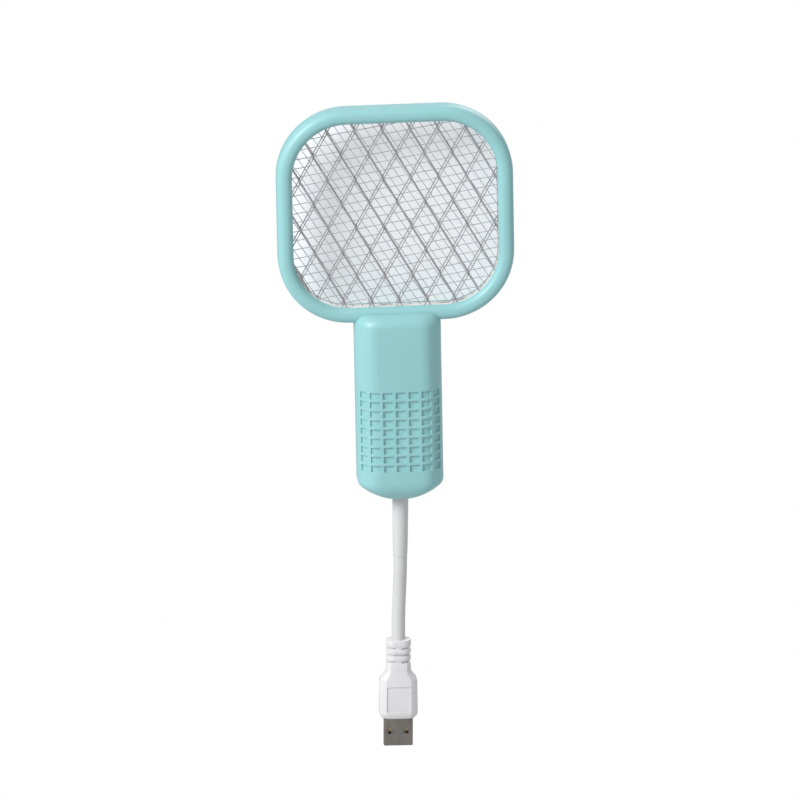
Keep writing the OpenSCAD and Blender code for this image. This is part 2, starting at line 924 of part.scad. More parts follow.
front_housing();
rear_housing();
front_grid();
middle_grid();
rear_grid();
front_spacer();
rear_spacer();
circuit_board();
transformer_core();
transformer_winding();
high_voltage_capacitor();
switching_transistor();
rectifier_diodes();
resistors();
charger_chip();
battery_cell();
battery_tabs();
battery_pad();
battery_leads();
high_voltage_lead();
outer_grid_leads();
supply_wires();
tact_switch_body();
tact_switch_plunger();
push_button();
slide_switch_body();
slide_switch_lever();
slide_knob();
indicator_led();
led_window();
housing_screws();
board_screws();
cord_strain_relief();
usb_cord();
on_the_lead() plug_overmould();
on_the_lead() usb_shell();
on_the_lead() usb_insulator();
on_the_lead() usb_contacts();
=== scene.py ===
import bmesh
import bpy
import math
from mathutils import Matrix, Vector


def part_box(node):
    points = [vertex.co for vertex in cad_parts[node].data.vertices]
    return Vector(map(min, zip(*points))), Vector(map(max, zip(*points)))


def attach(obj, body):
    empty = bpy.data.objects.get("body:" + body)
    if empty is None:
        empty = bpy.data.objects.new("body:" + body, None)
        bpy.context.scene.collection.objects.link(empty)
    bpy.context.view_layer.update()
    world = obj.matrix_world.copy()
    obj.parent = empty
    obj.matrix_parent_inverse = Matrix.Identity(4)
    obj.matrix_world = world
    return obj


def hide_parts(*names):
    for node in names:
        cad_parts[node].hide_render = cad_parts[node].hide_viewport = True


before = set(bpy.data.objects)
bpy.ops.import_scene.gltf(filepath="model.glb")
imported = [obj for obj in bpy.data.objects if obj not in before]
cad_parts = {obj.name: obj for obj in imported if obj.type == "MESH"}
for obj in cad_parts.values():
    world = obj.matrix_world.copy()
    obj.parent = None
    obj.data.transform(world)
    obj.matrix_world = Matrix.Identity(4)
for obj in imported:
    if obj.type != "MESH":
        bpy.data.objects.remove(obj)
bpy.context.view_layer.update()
mm = 0.001

# camera: a long lens, a little above and to the left of the front
shot = {"azimuth": -4.0, "elevation": 16.5, "roll": -1.07, "distance": 5.0, "lens": 547.4,
        "aim": (0.0006, 0.0, 0.0118)}


def addCamera():
    bpy.ops.object.camera_add()
    camera = bpy.context.object
    camera.name = "camera"
    camera.data.lens = shot["lens"]
    camera.data.clip_start = 0.05
    camera.data.clip_end = 100
    turn, tilt = math.radians(shot["azimuth"]), math.radians(shot["elevation"])
    back = Vector((math.sin(turn) * math.cos(tilt), -math.cos(turn) * math.cos(tilt), math.sin(tilt)))
    camera.location = Vector(shot["aim"]) + back * shot["distance"]
    camera.rotation_euler = (-back).to_track_quat("-Z", "Y").to_euler()
    camera.rotation_euler.rotate_axis("Z", math.radians(shot["roll"]))
    bpy.context.scene.camera = camera


addCamera()
bpy.context.scene.view_settings.view_transform = "Standard"
print("camera ready")


# ---- edit mode helpers

def clearSelection():
    if bpy.context.mode != "OBJECT":
        bpy.ops.object.mode_set(mode="OBJECT")
    bpy.ops.object.select_all(action="DESELECT")


def takeUp(piece):  # makes a piece the only selected and active one
    clearSelection()
    piece.select_set(True)
    bpy.context.view_layer.objects.active = piece


def openMesh(piece, kind="FACE"):
    takeUp(piece)
    bpy.ops.object.mode_set(mode="EDIT")
    bpy.ops.mesh.select_mode(type=kind)
    bpy.ops.mesh.select_all(action="SELECT")


def closeMesh():
    bpy.ops.object.mode_set(mode="OBJECT")


def pick(piece, kind, test):  # selects the faces, edges or vertices of the open mesh that pass a test
    bpy.ops.mesh.select_mode(type=kind)
    bpy.ops.mesh.select_all(action="DESELECT")
    mesh = bmesh.from_edit_mesh(piece.data)
    mesh.normal_update()
    for item in {"FACE": mesh.faces, "EDGE": mesh.edges, "VERT": mesh.verts}[kind]:
        if test(item):
            item.select_set(True)
    mesh.select_flush_mode()
    bmesh.update_edit_mesh(piece.data)


def named(piece, name):
    piece.name = name
    piece.data.name = name
    return piece


def settle(piece):  # puts place, turn and size into the mesh
    takeUp(piece)
    bpy.ops.object.transform_apply(location=True, rotation=True, scale=True)
    return piece


def turnOut(piece, merge=0.000005):  # merges doubles and turns the faces outwards
    openMesh(piece)
    bpy.ops.mesh.remove_doubles(threshold=merge)
    bpy.ops.mesh.normals_make_consistent(inside=False)
    closeMesh()
    return piece


def smoothBy(piece, degrees=35):
    takeUp(piece)
    bpy.ops.object.shade_smooth_by_angle(angle=math.radians(degrees))
    return piece


def finish(piece, kind, **settings):  # adds a modifier and applies it
    takeUp(piece)
    modifier = piece.modifiers.new(kind.title(), kind)
    for key, value in settings.items():
        setattr(modifier, key, value)
    bpy.ops.object.modifier_apply(modifier=modifier.name)
    return piece


def carve(piece, tool, how="DIFFERENCE"):
    finish(piece, "BOOLEAN", object=tool, operation=how, solver="MANIFOLD")
    bpy.data.objects.remove(tool)
    return piece


def twin(piece, name, move=(0, 0, 0), mirrorX=False):  # a copy with its own mesh, moved into place
    other = piece.copy()
    other.data = piece.data.copy()
    bpy.context.collection.objects.link(other)
    named(other, name)
    other.scale = (-1 if mirrorX else 1, 1, 1)
    other.location = move
    settle(other)
    if mirrorX:
        turnOut(other)
    return other


def joined(name, pieces):
    clearSelection()
    for piece in pieces:
        piece.select_set(True)
    bpy.context.view_layer.objects.active = pieces[0]
    bpy.ops.object.join()
    return named(pieces[0], name)


# a stack of rings, each (height, width, depth); it can be laid over to run along +Y
# the outline is the size at which the corners are rounded, before the first ring scales it
def loft(name, rings, corner=None, segments=6, sides=48, place=(0, 0, 0), alongY=False, lean=0, outline=None):
    height = rings[0][0]
    width, depth = outline or rings[0][1:]
    if corner is None:
        bpy.ops.mesh.primitive_circle_add(vertices=sides, radius=0.5, fill_type="NGON",
                                          location=(0, 0, height))
        blank = named(bpy.context.object, name)
        blank.scale = (width, depth, 1)
        settle(blank)
        openMesh(blank)
    else:
        bpy.ops.mesh.primitive_plane_add(size=1, location=(0, 0, height))
        blank = named(bpy.context.object, name)
        blank.scale = (width, depth, 1)
        settle(blank)
        openMesh(blank, "VERT")
        bpy.ops.mesh.bevel(offset=corner, segments=segments, affect="VERTICES")
        bpy.ops.mesh.select_mode(type="FACE")
        bpy.ops.mesh.select_all(action="SELECT")
    for nextHeight, nextWidth, nextDepth in rings:
        if nextHeight > height:
            bpy.ops.mesh.extrude_region_move(TRANSFORM_OT_translate={"value": (0, 0, nextHeight - height)})
        bpy.ops.transform.resize(value=(nextWidth / width, nextDepth / depth, 1),
                                 center_override=(0, 0, nextHeight))
        height, width, depth = nextHeight, nextWidth, nextDepth
    closeMesh()
    blank.rotation_euler = (-math.pi / 2 if alongY else 0, math.radians(lean), 0)
    blank.location = place
    settle(blank)
    return turnOut(blank)


# a rounded plate in X and Z, between two depths
def roundPlate(name, width, height, corner, low, high, middle=(0, 0), segments=20):
    plate = loft(name, [(low, width, height), (high, width, height)], corner, segments, alongY=True)
    plate.location = (middle[0], 0, middle[1])
    return settle(plate)


def roundBar(name, radius, low, high, x, z, sides=40):
    return loft(name, [(low, 2 * radius, 2 * radius), (high, 2 * radius, 2 * radius)], sides=sides,
                place=(x, 0, z), alongY=True)


def putOn(piece, body, slot, *nodes):
    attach(piece, body)
    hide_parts(*nodes)
    return piece


# ---- lead, from the handle to the plug

lead = {"diameter": 5.6 * mm, "length": 58 * mm, "exit": (0, 0, -33 * mm), "lean": 1.2,
        "route": [(0, 0, -29), (0, 0, -33), (-0.08, 0, -37), (-0.17, 0, -41), (-0.25, 0, -45),
                  (-0.34, 0, -49), (-0.42, 0, -53), (-0.5, 0, -57), (-0.62, 0, -61), (-0.82, 0, -65),
                  (-1.05, 0, -69), (-1.28, 0, -73), (-1.5, 0, -77), (-1.69, 0, -81), (-1.82, 0, -86),
                  (-1.9, 0, -91)]}


def makeLead():
    clearSelection()
    line = bpy.data.curves.new("lead", "CURVE")
    line.dimensions = "3D"
    spline = line.splines.new("NURBS")
    spline.points.add(len(lead["route"]) - 1)
    for point, place in zip(spline.points, lead["route"]):
        point.co = (place[0] * mm, place[1] * mm, place[2] * mm, 1)
        point.radius = lead["diameter"] / 2
    spline.use_endpoint_u = True
    spline.order_u = 3
    spline.resolution_u = 4
    line.bevel_depth = 1  # times the radius at each point
    line.bevel_resolution = 6
    line.use_fill_caps = True
    piece = bpy.data.objects.new("lead", line)
    bpy.context.collection.objects.link(piece)
    return piece


leadPiece = putOn(makeLead(), "swatter", "cord_white", "usb_cord")

# ---- housings

housingLow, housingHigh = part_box("front_housing")
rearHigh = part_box("rear_housing")[1]
spacerLow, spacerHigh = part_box("front_spacer")
gridFace = -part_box("front_grid")[0].y

head = {"width": housingHigh.x - housingLow.x, "top": housingHigh.z, "corner": 29 * mm, "rim": 6.4 * mm,
        "nose": 2.95 * mm, "wall": 1.7 * mm, "lip": 2.6 * mm, "spacerGap": 1.9 * mm, "slot": gridFace}
head["depth"] = 2 * (head["lip"] + head["slot"])
head["height"] = spacerHigh.z - spacerLow.z + 2 * head["spacerGap"]
head["bottom"] = head["top"] - head["height"]
head["middle"] = head["top"] - head["height"] / 2

handle = {"width": 35.5 * mm, "depth": rearHigh.y * 2, "corner": 9 * mm, "bottom": housingLow.z,
          "shoulderRound": 5 * mm, "dome": 26 * mm, "domeCorner": 3.5 * mm, "heel": 9 * mm,
          "wall": 1.8 * mm, "seam": 0.05 * mm, "leadHole": 3.45 * mm}
handle["shoulder"] = head["bottom"] + 4 * mm

grip = {"columns": 7, "rows": 9, "columnPitch": 5.3 * mm, "rowPitch": 3.9 * mm, "columnRib": 1.3 * mm,
        "rowRib": 1.1 * mm, "outerEnd": 16.4 * mm, "middle": 1.6 * mm, "depth": 0.75 * mm, "edge": 0.24 * mm,
        "crown": 2.5, "crownStep": 0.5 * mm}

screws = {"x": 12.3 * mm, "heights": (head["bottom"] - 8 * mm, handle["bottom"] + 13 * mm), "post": 2.75 * mm,
          "bore": 2.2 * mm, "seat": 7.6 * mm, "clearance": 1.2 * mm, "pilot": 0.95 * mm}
screwSpots = [(x, z) for x in (-screws["x"], screws["x"]) for z in screws["heights"]]


def handleHalfWidth(z):  # outline seen from the front
    half, corner, radius = handle["width"] / 2, handle["domeCorner"], handle["dome"]
    over = z - (handle["shoulder"] - handle["shoulderRound"])
    if over > 0:
        return half - handle["shoulderRound"] + math.sqrt(max(handle["shoulderRound"] ** 2 - over ** 2, 0))
    fromCentre = z - (handle["bottom"] + radius)
    cornerX = half - corner
    cornerZ = -math.sqrt((radius - corner) ** 2 - cornerX ** 2)
    if fromCentre > cornerZ:
        return half
    if fromCentre > cornerZ * radius / (radius - corner):
        return cornerX + math.sqrt(max(corner ** 2 - (fromCentre - cornerZ) ** 2, 0))
    return math.sqrt(max(radius ** 2 - fromCentre ** 2, 0))


def handleHalfDepth(z):  # outline seen from the side
    half = handle["depth"] / 2
    for radius, over in ((handle["shoulderRound"], z - handle["shoulder"] + handle["shoulderRound"]),
                         (handle["heel"], handle["bottom"] + handle["heel"] - z)):
        if over > 0:
            return half - radius + math.sqrt(max(radius ** 2 - over ** 2, 0))
    return half


def makeHandle():
    steps = (0.03, 0.15, 0.35, 0.65, 1.0, 1.4, 1.9, 2.5, 3.1, 3.8, 4.4, 5.0, 5.5, 5.9, 6.3, 6.8, 7.4, 8.0,
             8.6, 9.4, 10.5)
    heights = [handle["bottom"] + step * mm for step in steps]
    heights += [-10 * mm, 10 * mm, 30 * mm]
    start = handle["shoulder"] - handle["shoulderRound"]
    heights += [start + handle["shoulderRound"] * math.sin(math.radians(a)) for a in range(0, 84, 7)]
    heights.append(handle["shoulder"])
    rings = [(z, 2 * handleHalfWidth(z), 2 * handleHalfDepth(z)) for z in heights]
    return loft("handleBlank", rings, handle["corner"], 11, outline=(handle["width"], handle["depth"]))


def gripSpans():
    half = (grip["rows"] * grip["rowPitch"] - grip["rowRib"]) / 2
    start = grip["middle"] - half
    rows = [(start + row * grip["rowPitch"], start + (row + 1) * grip["rowPitch"] - grip["rowRib"])
            for row in range(grip["rows"])]
    cell = grip["columnPitch"] - grip["columnRib"]
    last = (grip["columns"] - 1) // 2
    columns = []
    for column in range(-last, last + 1):
        middle = column * grip["columnPitch"]
        low = -grip["outerEnd"] if column == -last else middle - cell / 2
        high = grip["outerEnd"] if column == last else middle + cell / 2
        columns.append((low, high))
    return rows, columns


def cutGrip(barrel):
    rows, columns = gripSpans()
    cuts = [((0, 0, z), (0, 0, 1)) for row in rows for z in row]
    cuts += [((x, 0, 0), (1, 0, 0)) for column in columns for x in column]
    cuts += [((0, 0, z), (0, 0, 1)) for z in (rows[0][0] - 0.5 * mm, rows[-1][1] + 0.5 * mm)]
    openMesh(barrel)
    for place, normal in cuts:
        bpy.ops.mesh.select_all(action="SELECT")
        bpy.ops.mesh.bisect(plane_co=place, plane_no=normal)
    for step in range(1, 36):  # the front falls away to both sides
        x, before = step * grip["crownStep"], (step - 1) * grip["crownStep"]
        pick(barrel, "VERT", lambda vertex: abs(vertex.co.x) > x - 0.01 * mm and vertex.co.y < -3 * mm)
        bpy.ops.transform.translate(value=(0, grip["crown"] * (x * x - before * before), 0))

    def inCell(face):
        middle = face.calc_center_median()
        return (abs(face.normal.z) < 0.3 and abs(middle.y) > 3 * mm
                and any(a < middle.z < b for a, b in rows) and any(a < middle.x < b for a, b in columns))

    pick(barrel, "FACE", inCell)
    bpy.ops.mesh.extrude_region_shrink_fatten(TRANSFORM_OT_shrink_fatten={"value": -grip["depth"]})
    closeMesh()


def makeRim():
    depth = head["depth"]
    rim = loft("rimBlank", [(-depth / 2, head["width"], head["height"])], head["corner"], 24)
    rim.rotation_euler = (-math.pi / 2, 0, 0)
    rim.location = (0, 0, head["middle"])
    settle(rim)
    openMesh(rim)
    bpy.ops.mesh.inset(thickness=head["rim"], depth=0)
    bpy.ops.mesh.delete(type="FACE")
    bpy.ops.mesh.select_all(action="SELECT")
    bpy.ops.mesh.extrude_region_move(TRANSFORM_OT_translate={"value": (0, depth, 0)})
    closeMesh()
    turnOut(rim)
    openMesh(rim, "EDGE")

    def aroundNose(edge):  # an edge between a flat face and a wall
        steep = [abs(face.normal.y) for face in edge.link_faces]
        return len(steep) == 2 and max(steep) > 0.9 and min(steep) < 0.1

    pick(rim, "EDGE", aroundNose)
    bpy.ops.mesh.bevel(offset=head["nose"], segments=8, profile=0.5)
    closeMesh()
    return rim


def makeCavity():
    wall = handle["wall"]
    width, depth = handle["width"] - 2 * wall, handle["depth"] - 2 * wall
    low, high = handle["bottom"] + 2.4 * mm, handle["shoulder"] - 4 * mm
    steps = [(low + 6.4 * mm * (1 - math.cos(math.radians(a))), 6.4 * mm * (1 - math.sin(math.radians(a))))
             for a in (0, 18, 36, 54, 72, 90)]
    rings = [(z, width - 3.8 * shy, depth - 2 * shy) for z, shy in steps] + [(high, width, depth)]
    return loft("cavity", rings, corner=7.4 * mm, segments=7, outline=(width, depth))


def makeHousings():
    barrel = makeHandle()
    cutGrip(barrel)
    finish(barrel, "BEVEL", width=grip["edge"], segments=3, limit_method="ANGLE",
           angle_limit=math.radians(38))
    body = carve(barrel, makeRim(), "UNION")
    wall, slot = head["wall"], head["slot"]
    carve(body, roundPlate("gridSpace", head["width"] - 2 * wall, head["height"] - 2 * wall,
                           head["corner"] - wall, -slot, slot, (0, head["middle"]), 24))
    hollow = makeCavity()
    for x, z in screwSpots:
        carve(hollow, roundBar("post", screws["post"], -20 * mm, 20 * mm, x, z))
    carve(body, hollow)
    carve(body, roundPlate("wireSlot", 20 * mm, 8 * mm, 1 * mm, -slot, slot, (0, head["bottom"])))
    bore, reach = 2 * handle["leadHole"], 4 * mm
    carve(body, loft("leadHole", [(handle["bottom"] - reach, bore, bore),
                                  (handle["bottom"] + reach, bore, bore)]))
    halves = []
    seam, past = handle["seam"], 30 * mm
    for name, low, high in (("frontShell", -past, -seam), ("rearShell", seam, past)):
        half = twin(body, name)
        carve(half, roundPlate("half", 0.2, 0.3, 0.01, low, high, (0, 0.05), 2), "INTERSECT")
        halves.append(half)
    bpy.data.objects.remove(body)
    return halves


def boreScrews(front, rear):  # pilot holes in front, clearance holes and sunk seats behind
    bore, mouth, top = 2 * screws["bore"], 2 * screws["bore"] + 0.5 * mm, handle["depth"] / 2
    for x, z in screwSpots:
        carve(front, roundBar("pilot", screws["pilot"], -6.2 * mm, 5 * mm, x, z))
        carve(rear, roundBar("clear", screws["clearance"], -mm, 9 * mm, x, z))
        carve(rear, loft("seat", [(screws["seat"], bore, bore), (top - 0.9 * mm, bore, bore),
                                  (top + 0.2 * mm, mouth, mouth)], place=(x, 0, z), alongY=True))


controls = {"button": 23 * mm, "buttonRadius": 5 * mm, "buttonHole": 10.5 * mm, "knob": 39.5 * mm,
            "window": (4.1 * mm, 7.5 * mm),
            "lamp": 31.3 * mm, "lampHole": 3.06 * mm, "inner": 9 * mm}


def cutControls(rear):
    top, deep = handle["depth"] / 2, controls["inner"]
    wide = controls["buttonHole"]
    carve(rear, loft("buttonHole", [(deep, wide, wide), (top - 0.5 * mm, wide, wide),
                                    (top - 0.2 * mm, wide + 0.3 * mm, wide + 0.3 * mm),
                                    (top + 0.1 * mm, wide + 1.0 * mm, wide + 1.0 * mm)],
                     place=(0, 0, controls["button"]), alongY=True, sides=64))
    small = controls["lampHole"]
    carve(rear, loft("lampHole", [(deep, small, small), (top + 1 * mm, small, small)],
                     place=(0, 0, controls["lamp"]), alongY=True))
    wide, tall = controls["window"]
    carve(rear, loft("window", [(deep, wide, tall), (top - 0.4 * mm, wide, tall),
                                (top + 0.1 * mm, wide + 0.8 * mm, tall + 0.8 * mm)], corner=0.5 * mm,
                     place=(0, 0, controls["knob"]), alongY=True))


frontShell, rearShell = makeHousings()
boreScrews(frontShell, rearShell)
cutControls(rearShell)
for shell, node in ((frontShell, "front_housing"), (rearShell, "rear_housing")):
    smoothBy(shell, 40)
    putOn(shell, "swatter", "housing", node)
    print(shell.name, len(shell.data.polygons), "faces")


# ---- grids of the head

mesh = {"strandPitch": 5.7 * mm, "period": 20.6 * mm, "bond": 1.3 * mm, "wire": 0.5 * mm,
        "column": -4.66 * mm, "node": 106.6 * mm, "fine": 0.34 * mm, "flatAngle": 9, "flatPitch": 3.75 * mm,
        "steepAngle": 57, "steepPitch": 3.3 * mm, "inset": 2.5 * mm, "border": 1.2 * mm, "tabWidth": 3 * mm}


def gridOutline(name, low, high, shrink=0):
    inset = 2 * (mesh["inset"] + shrink)
    return roundPlate(name, head["width"] - inset, head["height"] - inset,
                      head["corner"] - mesh["inset"] - shrink, low, high, (0, head["middle"]), 12)


def trimGrid(grid, low, high):  # cuts the wires to the outline and makes the strip round them
    carve(grid, gridOutline("cut", low.y - 0.1 * mm, high.y + 0.1 * mm, 0.3 * mm), "INTERSECT")
    border = gridOutline("border", low.y, high.y)
    return carve(border, gridOutline("inner", low.y - mm, high.y + mm, mesh["border"]))


def makeStrand(deep):  # one zigzag wire, from below the head to above it
    half, bond, wire = mesh["period"] / 2, mesh["bond"], mesh["wire"]
    swing = mesh["strandPitch"] - wire
    height = mesh["node"] - 4 * mesh["period"] - bond / 2
    bpy.ops.mesh.primitive_circle_add(vertices=8, radius=wire / 2, fill_type="NGON",
                                      location=(mesh["column"] + wire / 2, deep, height))
    strand = settle(named(bpy.context.object, "strand"))
    openMesh(strand)
    for step in range(12):
        for move in ((0, 0, bond), (swing if step % 2 == 0 else -swing, 0, half - bond)):
            bpy.ops.mesh.extrude_region_move(TRANSFORM_OT_translate={"value": move})
    closeMesh()
    return turnOut(strand)


def makeOuterGrid(name, node):
    low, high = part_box(node)
    deep = (low.y + high.y) / 2
    strand = makeStrand(deep)
    pitch = mesh["strandPitch"]
    strands = []
    for index in range(-8, 10):
        if index % 2 == 0:
            strands.append(twin(strand, "strand", (index * pitch, 0, 0)))
        else:
            shift = 2 * mesh["column"] + (index + 1) * pitch
            strands.append(twin(strand, "strand", (shift, 0, 0), mirrorX=True))
    bpy.data.objects.remove(strand)
    grid = joined(name, strands)
    return grid, trimGrid(grid, low, high), low, high


def addTab(name, grid, border, low, high, x):
    tab = roundPlate("tab", mesh["tabWidth"], 6 * mm, 0.5 * mm, low.y, high.y, (x, low.z + 3 * mm), 3)
    carve(border, tab, "UNION")
    smoothBy(border, 35)
    whole = joined(name, [grid, border])
    return smoothBy(whole, 50)


def makeMiddleGrid(name, node):
    low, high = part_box(node)
    deep = (low.y + high.y) / 2
    wires = []
    for angle, pitch, shift in ((mesh["flatAngle"], mesh["flatPitch"], -0.1 * mm),
                                (180 - mesh["steepAngle"], mesh["steepPitch"], 0.1 * mm)):
        bpy.ops.mesh.primitive_circle_add(vertices=6, radius=mesh["fine"] / 2, fill_type="NGON",
                                          location=(0, 0, -70 * mm))
        wire = settle(named(bpy.context.object, "wire"))
        openMesh(wire)
        bpy.ops.mesh.extrude_region_move(TRANSFORM_OT_translate={"value": (0, 0, 140 * mm)})
        closeMesh()
        turnOut(wire)
        wire.rotation_euler = (0, math.radians(90 - angle), 0)
        settle(wire)
        run = math.radians(angle)
        for index in range(-18, 19):
            step = index * pitch
            move = (-math.sin(run) * step, deep + shift, math.cos(run) * step + head["middle"])
            wires.append(twin(wire, "wire", move))
        bpy.data.objects.remove(wire)
    grid = joined(name, wires)
    return grid, trimGrid(grid, low, high), low, high


tabs = {"front": -6.5 * mm, "middle": 4.5 * mm, "rear": -2.5 * mm}
frontGrid = addTab("frontGrid", *makeOuterGrid("frontWires", "front_grid"), tabs["front"])
rearGrid = addTab("rearGrid", *makeOuterGrid("rearWires", "rear_grid"), tabs["rear"])
middleGrid = addTab("middleGrid", *makeMiddleGrid("middleWires", "middle_grid"), tabs["middle"])
for piece, node in ((frontGrid, "front_grid"), (rearGrid, "rear_grid"), (middleGrid, "middle_grid")):
    putOn(piece, "swatter", "grid_wire", node)
    print(piece.name, len(piece.data.polygons), "faces")


# ---- strain relief at the handle

relief = {"top": 3.35 * mm, "tip": 3.1 * mm, "length": 26 * mm, "bore": 2.86 * mm, "neck": 3.4 * mm,
          "collar": 5 * mm}


def makeRelief():
    wide, tip = 2 * relief["top"], 2 * relief["tip"]
    end = -relief["length"]
    rings = [(end, tip - 0.40 * mm, tip - 0.40 * mm), (end + 0.15 * mm, tip - 0.28 * mm, tip - 0.28 * mm),
             (end + 3 * mm, tip - 0.1 * mm, tip - 0.1 * mm), (end + 7 * mm, tip + 0.08 * mm, tip + 0.08 * mm),
             (0, wide, wide)]
    exitPoint = (0, 0, handle["bottom"])
    sleeve = loft("leadRelief", rings, place=exitPoint, lean=lead["lean"])
    neck, collarWide = 2 * relief["neck"] - 0.1 * mm, 2 * relief["collar"]
    base = loft("neck", [(-0.4 * mm, neck, neck), (2.4 * mm, neck, neck)], place=exitPoint)
    collar = loft("collar", [(2.4 * mm, collarWide, collarWide), (4.8 * mm, collarWide, collarWide)],
                  place=exitPoint)
    carve(sleeve, base, "UNION")
    carve(sleeve, collar, "UNION")
    hole = 2 * relief["bore"]
    carve(sleeve, loft("bore", [(end - 5 * mm, hole, hole), (mm, hole, hole)], place=exitPoint,
                       lean=lead["lean"]))
    carve(sleeve, loft("bore", [(0, hole, hole), (10 * mm, hole, hole)], place=exitPoint))
    return smoothBy(sleeve, 40)


reliefPiece = putOn(makeRelief(), "swatter", "cord_white", "cord_strain_relief")


# ---- plug; its rings are measured up from its own top, where the lead enters

plug = {"place": tuple(value * mm for value in lead["route"][-1]), "rib": (10.4, 7.6), "core": (8.4, 6.0),
        "ribs": ((-3.0, 0.0), (-5.9, -3.9), (-8.9, -6.8)), "neck": (10.0, 7.6), "neckTop": -9.7,
        "shoulderTop": -13.5, "shoulder": -16.8, "body": (15.9, 8.2), "bodyEnd": -33.9,
        "facet": 2.7, "panel": (9.9, 10.9, 0.35), "bridge": 2.6, "shell": (12.0, 4.5), "tip": -45.7,
        "sheet": 0.3, "holes": (2.7, 2.3, 3.1, 5.5)}


def scaled(rings):
    return [tuple(value * mm for value in ring) for ring in rings]


def plugLoft(name, rings, corner, segments=6, outline=None):
    outline = outline and tuple(value * mm for value in outline)
    return loft(name, scaled(rings), corner * mm, segments, place=plug["place"], lean=lead["lean"],
                outline=outline)


def plugBlock(name, size, low, high, shift=(0, 0), corner=0.3, segments=3):
    block = loft(name, scaled([(low, *size), (high, *size)]), corner * mm, segments)
    block.location = (shift[0] * mm, shift[1] * mm, 0)
    settle(block)
    block.rotation_euler = (0, math.radians(lead["lean"]), 0)
    block.location = plug["place"]
    return settle(block)


def makeMoulding():
    wide, deep = plug["body"]
    end, shoulder = plug["bodyEnd"], plug["shoulder"]
    rings = [(end, wide - 3.4, deep - 1.9), (end + 0.25, wide - 2.6, deep - 1.2),
             (end + 0.8, wide - 1.7, deep - 0.7), (end + 1.6, wide - 0.5, deep - 0.2),
             (end + 2.1, wide - 0.1, deep), (end + 2.6, wide, deep), (shoulder - 1.0, wide - 0.4, deep),
             (shoulder - 0.3, wide - 0.7, deep), (shoulder + 0.3, wide - 1.5, deep - 0.1),
             (shoulder + 1.2, wide - 3.0, deep - 0.2), (shoulder + 2.1, wide - 4.4, deep - 0.4)]
    neckWide, neckDeep = plug["neck"]
    neckLow, neckTop = plug["shoulderTop"], plug["neckTop"]
    rings += [(neckLow - 0.3, neckWide + 0.6, neckDeep + 0.1), (neckLow + 0.6, neckWide + 0.1, neckDeep),
              (neckTop - 0.5, neckWide, neckDeep), (neckTop - 0.15, neckWide - 0.2, neckDeep - 0.2),
              (neckTop, neckWide - 0.7, neckDeep - 0.7)]
    body = plugLoft("plugMoulding", rings, plug["facet"], 1, (wide, deep * 1.7))
    finish(body, "BEVEL", width=0.35 * mm, segments=3, limit_method="ANGLE", angle_limit=math.radians(24))
    coreWide, coreDeep = plug["core"]
    ribWide, ribDeep = plug["rib"]
    rings = [(neckTop - 0.5, coreWide, coreDeep)]
    for low, high in reversed(plug["ribs"]):
        rings += [(low - 0.01, coreWide, coreDeep), (low, ribWide - 0.7, ribDeep - 0.7),
                  (low + 0.1, ribWide - 0.2, ribDeep - 0.2), (low + 0.35, ribWide, ribDeep),
                  (high - 0.35, ribWide, ribDeep), (high - 0.1, ribWide - 0.2, ribDeep - 0.2),
                  (high, ribWide - 0.7, ribDeep - 0.7)]
        if high < 0:
            rings.append((high + 0.01, coreWide, coreDeep))
    carve(body, plugLoft("ribs", rings, 3.0, 8), "UNION")
    ribs = plug["ribs"]
    grooves = ((ribs[1][1] - 0.2, ribs[0][0] + 0.2), (neckTop - 0.2, ribs[2][0] + 0.2))
    for low, high in grooves:
        carve(body, plugBlock("bridge", (plug["bridge"], ribDeep - 0.3), low, high), "UNION")
    panelWide, panelTall, panelDeep = plug["panel"]
    middle = (plug["shoulder"] + plug["bodyEnd"]) / 2
    for side in (-1, 1):
        panel = roundPlate("panel", panelWide * mm, panelTall * mm, 0.5 * mm, -1 * mm, 1 * mm, (0, 0), 6)
        panel.location = (0, side * (deep / 2 - panelDeep + 1.0) * mm, middle * mm)
        settle(panel)
        panel.rotation_euler = (0, math.radians(lead["lean"]), 0)
        panel.location = plug["place"]
        carve(body, settle(panel))
    return smoothBy(body, 35)


def makeShell():
    wide, deep = plug["shell"]
    wall, tip, top = 2 * plug["sheet"], plug["tip"], plug["bodyEnd"] + 3.0
    rings = [(tip, wide - 0.14, deep - 0.14), (tip + 0.07, wide, deep), (top, wide, deep)]
    shell = plugLoft("plugShell", rings, 0.75, 6)
    rings = [(tip - 1, wide - wall, deep - wall), (top - 0.3, wide - wall, deep - wall)]
    carve(shell, plugLoft("inner", rings, 0.5, 6))
    holeWide, holeTall, across, below = plug["holes"]
    middle, half = plug["bodyEnd"] - below, holeTall / 2
    for x in (-across, across):
        carve(shell, plugBlock("hole", (holeWide, deep + 2), middle - half, middle + half, (x, 0), 0.25))
    carve(shell, plugBlock("seam", (0.12, deep), tip - 1, top - 1, (0, deep / 2 + 0.1), 0.02, 1))
    return smoothBy(shell, 35)


moulding = putOn(makeMoulding(), "swatter", "plug_white", "plug_overmould")
plugShell = putOn(makeShell(), "swatter", "plug_steel", "usb_shell")
print("plug", len(moulding.data.polygons), len(plugShell.data.polygons), "faces")


# ---- controls on the back

def makeButton():
    low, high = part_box("push_button")
    wide = 2 * controls["buttonRadius"]
    flange = high.x - low.x
    top = high.y
    rings = [(low.y, flange, flange), (low.y + 1 * mm, flange, flange), (low.y + 1.01 * mm, wide, wide)]
    for below, shy in ((0.9, 0), (0.5, 0.15), (0.2, 0.6), (0.03, 1.3), (0, 2.0), (0.06, 2.8), (0.3, 4.6),
                       (0.45, 7.0), (0.5, 9.2)):
        rings.append((top - below * mm, wide - shy * mm, wide - shy * mm))
    button = loft("button", rings, sides=64, place=(0, 0, (low.z + high.z) / 2), alongY=True)
    return smoothBy(button, 45)


